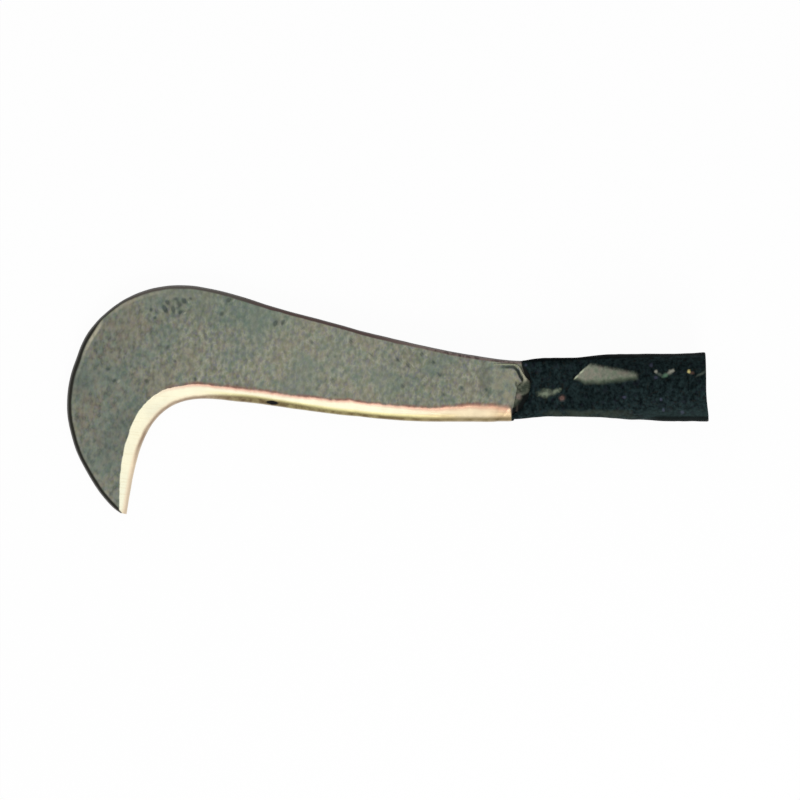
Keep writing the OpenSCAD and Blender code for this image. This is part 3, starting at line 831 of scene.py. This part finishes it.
# Tongue on the upper side of the taper: bare steel where the paint is worn, painted bright as the lamp's
# reflection on the flattened facet, sharp at its left and upper lines and rubbed away below. Painted
# highlights stand along its left line.
left = (x + 74.3) * 0.688 - (y - 3.5) * 0.725 + 1.3 * (grain - 0.5)
top = (12.4 - y) * 0.982 - (x + 62.9) * 0.19 + 1.6 * (grain - 0.5)
foot = y - 2.6 - 0.11 * (x + 58.0).most(0.0) - 0.4 * (-66.5 - x).most(0.0) + 3.0 * (blotch - 0.5)
right = -36.6 - x + 2.0 * (grain - 0.5)
tongue = left.between(-0.3, 0.8) * top.between(-1.5, 1.9) * face
tongue = tongue * foot.between(-2.0, 2.2) * right.between(0.0, 3.0)
bare = layered(
    grain.between(0.2, 0.8).mixed(seen(112, 117, 104), seen(142, 145, 129)),
    (0.42 * speck.between(0.5, 0.66), seen(146, 136, 124)),
    (0.42 * speck.between(0.46, 0.32), seen(110, 130, 106)),
    (0.25 * x.between(-58, -38), seen(96, 92, 82)),
    (0.6 * foot.between(2.0, 0.2), seen(88, 106, 84)),
    # painted highlight along the tongue's left line
    (0.35 * left.between(1.8, 0.5) * fleck.between(0.38, 0.6), seen(176, 184, 158)),
)
# bright painted glints along the tongue's left line
edge_glints = place.ovals(((-71.5, 5.5), (1.5, 0.5), 45), ((-68.5, 8.5), (1.7, 0.5), 45))
edge_glints = (edge_glints + 0.8 * (fleck - 0.5)).between(1.5, 0.2) * left.between(-0.6, 0.2) * face

# Smaller places, each partly worn paint and partly a painted reflection of the lamp: a smear by the rivet,
# and painted glints laid as chips, dull and green flecks and a gleam along a line over the top of the barrel,
# with a brownish blush beside the gleam.
smear = place.ovals(
    ((-87.9, -3.3), (4.3, 2.3), 4), ((-82.6, -2.4), (2.8, 1.5), 30), ((-89.4, -3.6), (1.8, 2.2)),
)
smear = (smear + 1.2 * (grain - 0.5) + 0.6 * (speck - 0.5)).between(1.4, 0.1) * face
# painted glints along the top of the barrel, laid as chips
chip_glints = place.ovals(((-28.0, 8.5), (0.9, 0.9)), ((-20.0, 8.4), (1.9, 1.0), 30))
chip_glints = (chip_glints + 1.4 * (fleck - 0.5)).between(1.8, 0.1) * face
dull = place.ovals(((-25.9, 7.0), (1.6, 0.8), -25), ((-3.0, 7.4), (2.6, 0.7), 25))
dull = (dull + 1.2 * (fleck - 0.5)).between(1.6, 0.2) * face
green = (place.oval((-22.8, 6.5), (1.6, 0.9), 20) + 1.2 * (fleck - 0.5)).between(1.8, 0.1) * face
gleam = (place.oval((-9.9, 8.6), (1.0, 1.0)) + 0.8 * (fleck - 0.5)).between(1.4, 0.3) * face
blush = (place.oval((-8.4, 7.8), (1.4, 0.9)) + 0.8 * (fleck - 0.5)).between(1.5, 0.3) * face
rubbed = from_rim.between(0.7, 0.1) * blotch.between(0.5, 0.66) * x.between(-60, -40)
bare_and_sheen = tongue.most(0.75 * smear)
bore_rust = cloud.between(0.4, 0.65).mixed(seen(38, 32, 28), seen(66, 46, 34))
end_finish(start, 0.6 * grain + 0.5 * blotch - 0.5 * bare_and_sheen, 0.2, {
    "Base Color": layered(
        paint,
        (bare_and_sheen, bare),
        (0.6 * edge_glints, seen(206, 214, 184)),
        (0.9 * chip_glints, seen(172, 172, 158)),
        (0.75 * green, seen(104, 140, 114)),
        (0.55 * dull, seen(104, 114, 104)),
        (0.6 * blush, seen(104, 80, 70)),
        (0.95 * gleam, seen(232, 218, 146)),
        (0.5 * rubbed, seen(80, 76, 68)),
        (in_bore, bore_rust),
    ),
    "Roughness": 0.56 + 0.1 * bare_and_sheen + 0.2 * (blotch - 0.5) + 0.1 * in_bore,
    "Metallic": 0.25 * bare_and_sheen,
    "Specular IOR Level": 0.01,
})
socket.data.materials.append(material)
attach(socket, "root")
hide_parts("socket")

# Tang rivet
# A soft iron rivet through both walls of the pinch and the tang: its round head was held in a dolly at
# the back and its shank hammered down to a low, uneven dome in front. Paint is left round its rim.
low_corner, high_corner = (np.array(corner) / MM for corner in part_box("tang_rivet"))
rivet_x, rivet_y = (low_corner + high_corner)[:2] / 2
shank_r = 2.0
peen_r = 2.4
peen_height = 0.85
peen_rough = 0.06
head_r = (high_corner - low_corner)[0] / 2
head_height = 2.6
sunk = 0.1
seat = pinch_depth - sunk
shank_end = seat - 0.05


def dome(radius, height, count):
    """Radius and height over a cap of a ball, from its rim to just beside its crown."""
    ball = (radius**2 + height**2) / (2 * height)
    angle = np.linspace(math.asin(radius / ball), 0.03, count)
    return np.stack([ball * np.sin(angle), ball * (np.cos(angle) - 1) + height], -1)


peen = dome(peen_r, peen_height, 14) + (0, seat)
head = dome(head_r, head_height, 18) * (1, -1) - (0, seat)
shank = np.array([(shank_r, -shank_end), (shank_r, shank_end)])
profile = np.concatenate([head[::-1], shank, peen])
profile_r, profile_z = profile[:, :1], profile[:, 1:]
turn = np.linspace(0, 2 * np.pi, 40, endpoint=False)
uneven = 1 + 0.04 * np.sin(2 * turn + 0.6) + 0.03 * np.sin(5 * turn)
ring_r = profile_r * np.where(profile_z > 0, uneven, 1.0)
rings = np.stack([
    rivet_x + ring_r * np.cos(turn), rivet_y + ring_r * np.sin(turn), profile_z + 0 * ring_r
], -1)
on_peen = profile_z > pinch_depth + sunk
rings[..., 2] -= peen_rough * (1 + waves(rings, length=2.6, seed=21)) * on_peen
rivet = skin("tang_rivet_peened", rings, out_mm=np.broadcast_to(profile_r, ring_r.shape))
material, start, place, _ = new_finish("rusted_rivet_iron")
grain = place.noise(1.6)
iron = grain.between(0.2, 0.7).mixed(seen(80, 60, 54), seen(108, 82, 74))
painted = (start.measure("out_mm") + 2.0 * (place.noise(2.0, detail=1.0) - 0.5)).between(0.7, 2.0)
end_finish(start, grain, 0.06, {
    "Base Color": painted.mixed(iron, seen(14, 18, 18)),
    "Roughness": 0.6 + 0.2 * (grain - 0.5),
    "Metallic": 0.2 * (1 - painted),
    "Specular IOR Level": 0.2,
})
rivet.data.materials.append(material)
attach(rivet, "root")
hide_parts("tang_rivet")

# Lip welds
# One run of weld on each face, laid by hand in the corner between the plate and the socket's lip. The
# front one starts thin along the back, heaps up in the hollow of the lip and ends under the paint.
face_z = blade_thick / 2
weld_sunk = 0.35
ripple_high = 0.05
ripple_pitch = 1.25
ripple_bow = 0.35
large_lumps = 0.14
small_lumps = 0.08
lip_overlap = 0.3
back_from_lip = 1.6
back_lean = 0.9

# Knots of each run from the back to the heel: x, y, half width, height and lean towards the lip.
front_run = np.array([
    (-117.0, 12.5, 0.25, 0.15, 0.0), (-110.0, 12.6, 0.35, 0.4, 0.0), (-104.4, 12.2, 0.4, 0.6, 0.0),
    (-102.4, 10.2, 0.4, 0.65, 0.0), (-101.3, 8.0, 0.4, 0.7, 0.05), (-100.3, 5.8, 0.5, 0.75, 0.2),
    (-99.7, 3.2, 1.3, 1.0, 0.7), (-99.9, 0.2, 3.9, 1.3, 0.9), (-100.6, -3.0, 3.7, 1.4, 0.9),
    (-102.0, -6.2, 3.0, 1.4, 0.9), (-103.9, -9.8, 1.9, 1.2, 0.8), (-105.6, -13.2, 0.7, 0.6, 0.6),
])
back_run = np.array([
    (lip_line(y_at) - back_from_lip, y_at, half, high, back_lean)
    for y_at, half, high in ((9.5, 0.6, 0.5), (6.0, 1.7, 1.5), (2.0, 2.0, 1.8), (-2.0, 1.9, 1.7),
                             (-6.0, 2.1, 1.8), (-10.0, 1.7, 1.4), (-13.0, 0.7, 0.6))
])


def smooth_path(points, count):
    """Values at even steps through points, by a curve that passes each with its neighbours' heading."""
    t = np.linspace(0, len(points) - 1, count)
    k = np.minimum(t.astype(int), len(points) - 2)
    f = (t - k)[:, None]
    pad = np.concatenate([2 * points[:1] - points[1:2], points, 2 * points[-1:] - points[-2:-1]])
    a, b, c, d = pad[k], pad[k + 1], pad[k + 2], pad[k + 3]
    return b + 0.5 * f * (c - a + f * (2 * a - 5 * b + 4 * c - d + f * (3 * (b - c) + d - a)))


def bead(knots, seed):
    """Rings of a run of weld: an arch over the path through the knots, half wide to each side and high. A
    lean of 1 keeps it high on its right, against the lip. Ripples and lumps ride on it; its foot is sunk."""
    count = 260
    run = smooth_path(knots, count)
    line = run[:, :2]
    half, high, lean = run[:, 2:3], run[:, 3:4], run[:, 4:]
    heading = np.gradient(line, axis=0)
    heading /= np.linalg.norm(heading, axis=1, keepdims=True)
    right = np.stack([-heading[:, 1], heading[:, 0]], -1)
    angle = np.linspace(0, np.pi, 24)
    arch = np.sin(angle) * (1 - lean) + np.sin(angle / 2) ** 0.8 * lean
    aside = -np.cos(angle)
    laid = np.concatenate([[0], np.cumsum(np.linalg.norm(np.diff(line, axis=0), axis=1))])
    bow = laid[:, None] + ripple_bow * half * (1 - aside**2)
    ripple = 1 + ripple_high * np.sin(2 * np.pi * bow / ripple_pitch)
    spread = line[:, None] + right[:, None] * (half * aside)[..., None]
    short = np.maximum(lip_overlap - past_lip(spread[:, -1:]), 0) * lean
    spread[..., 0] += short * np.clip(aside, 0, 1) ** 2
    lump = large_lumps * waves(spread, length=3.2, seed=seed)
    lump = 1 + lump + small_lumps * waves(spread, length=1.5, seed=seed + 1)
    top = face_z + high * arch * ripple * lump
    foot = np.full((count, 2), face_z - weld_sunk)
    outline = np.concatenate([spread, spread[:, [-1, 0]]], 1)
    return np.concatenate([outline, np.concatenate([top, foot], 1)[..., None]], -1)


material, start, place, (_, y, _) = new_finish("part_painted_weld")
grain = place.noise(2.6)
blotch = place.noise(4.0)
# The thin upper run is painted pale, as a highlight along its crest; the bare colour carries it.
crest_highlight = y.between(10.5, 12.0).mixed(seen(170, 168, 146), seen(146, 150, 126))
pink = place.oval((-102.9, -5.1), (1.8, 1.9)) + 0.8 * (grain - 0.5)
crack = place.oval((-102.8, -1.6), (2.1, 0.6), -38) + 0.8 * (grain - 0.5)
bare = layered(
    grain.between(0.3, 0.7).mixed(seen(58, 65, 55), seen(96, 100, 86)),
    (0.9 * (y + 2.0 * (grain - 0.5)).between(1.6, 5.2), crest_highlight),
    (0.75 * pink.between(1.4, 0.4), seen(126, 114, 106)),
    (0.55 * crack.between(1.5, 0.3), seen(44, 42, 36)),
)
fade = y.between(5.5, 3.0)
painted = start.measure("paint_mm") + (1.2 + fade) * (blotch - 0.5)
painted = painted.between(-0.3 - 1.6 * fade, 0.5 + fade)
rubbed = (place.oval((-104.1, -12.3), (0.7, 4.0), -6) + 0.6 * (grain - 0.5)).between(1.3, 0.4)
end_finish(start, grain, 0.2, {
    "Base Color": painted.mixed(bare, (0.6 * rubbed).mixed(seen(13, 16, 16), seen(66, 60, 54))),
    "Roughness": 0.55 + 0.2 * (grain - 0.5),
    "Metallic": 0.25 * (1 - painted),
    "Specular IOR Level": 0.04,
})
for node, knots, side in (("lip_weld_front", front_run, 1), ("lip_weld_back", back_run, -1)):
    rings = bead(knots, seed=31)
    bare_till = past_paint_end(rings) if side > 0 else past_lip(rings) + back_paint
    weld = skin(node + "_bead", rings * (1, 1, side), paint_mm=bare_till)
    weld.data.materials.append(material)
    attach(weld, "root")
    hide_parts(node)

# Floor, lamps and camera
# A plain pale sheet under the tool, which lies on its barrel and the nose of its hook, lit by one
# large soft lamp from the side of the edge and a weak one from the side of the back.
balance_x = -0.177
floor_half = 3.0
floor_sink = 0.0002
floor_white = 0.96
sky_light = 0.45
points = np.concatenate([np.array([v.co for v in o.data.vertices]) for o in (blade, socket)])
slopes = np.linspace(-0.1, 0.1, 401)
lowest = np.array([(points[:, 2] - s * (points[:, 0] - balance_x)).min() for s in slopes])
floor_slope = slopes[lowest.argmax()]
span = np.array([[-1, -1], [1, -1], [1, 1], [-1, 1]]) * floor_half
drop = lowest.max() - floor_sink + floor_slope * (span[:, 0] - balance_x)
mesh = bpy.data.meshes.new("floor")
mesh.from_pydata(np.column_stack([span, drop]).tolist(), [], [(0, 1, 2, 3)])
floor = bpy.data.objects.new("floor", mesh)
bpy.context.scene.collection.objects.link(floor)


def shows_background(start):
    """1 for what the camera sees straight on, in a mirror or through glass, and 0 for light on things."""
    kinds = ("Is Camera Ray", "Is Glossy Ray", "Is Transmission Ray")
    camera, glossy, through = (start.node("LightPath", {}, {}, kind) for kind in kinds)
    return camera.most(glossy).most(through)


material = bpy.data.materials.new("pale_floor")
material.use_nodes = True
material.node_tree.nodes.clear()
start = Wire(material.node_tree)
paper = start.node("BsdfDiffuse", {}, {"Color": (0.9, 0.9, 0.9, 1)})
white = start.node("Emission", {}, {"Color": (1, 1, 1, 1), "Strength": 1.0})
surface = start.node("MixShader", {}, {0: floor_white * shows_background(start), 1: paper, 2: white})
start.node("OutputMaterial", {}, {"Surface": surface})
floor.data.materials.append(material)

world = bpy.data.worlds.new("studio")
world.use_nodes = True
world.node_tree.nodes.clear()
start = Wire(world.node_tree)
strength = sky_light + (1 - sky_light) * shows_background(start)
sky = start.node("Background", {}, {"Color": (1, 1, 1, 1), "Strength": strength})
start.node("OutputWorld", {}, {"Surface": sky})
bpy.context.scene.world = world

view_centre = np.array([-0.1683, -0.00704, 0.0])


def lamp(name, place, size, power):
    """A square area lamp at a place round the middle of the view, turned to face that middle."""
    light = bpy.data.lights.new(name, "AREA")
    light.size = size
    light.energy = power
    stand = bpy.data.objects.new(name, light)
    stand.location = view_centre + place
    toward = -np.array(place) / np.linalg.norm(place)
    stand.rotation_euler = (math.acos(-toward[2]), 0, math.atan2(-toward[0], toward[1]))
    bpy.context.scene.collection.objects.link(stand)


lamp("key", (0.4, -0.95, 0.62), size=0.7, power=10.5)
lamp("fill", (-0.5, 0.6, 0.9), size=0.9, power=2.2)

camera_height = 5.0
picture_width = 800
pixel = 0.55 * MM
camera_data = bpy.data.cameras.new("camera")
camera_data.lens = camera_data.sensor_width * camera_height / (picture_width * pixel)
camera = bpy.data.objects.new("camera", camera_data)
camera.location = view_centre + (0, 0, camera_height)
bpy.context.scene.collection.objects.link(camera)
bpy.context.scene.camera = camera
bpy.context.scene.view_settings.view_transform = "Standard"
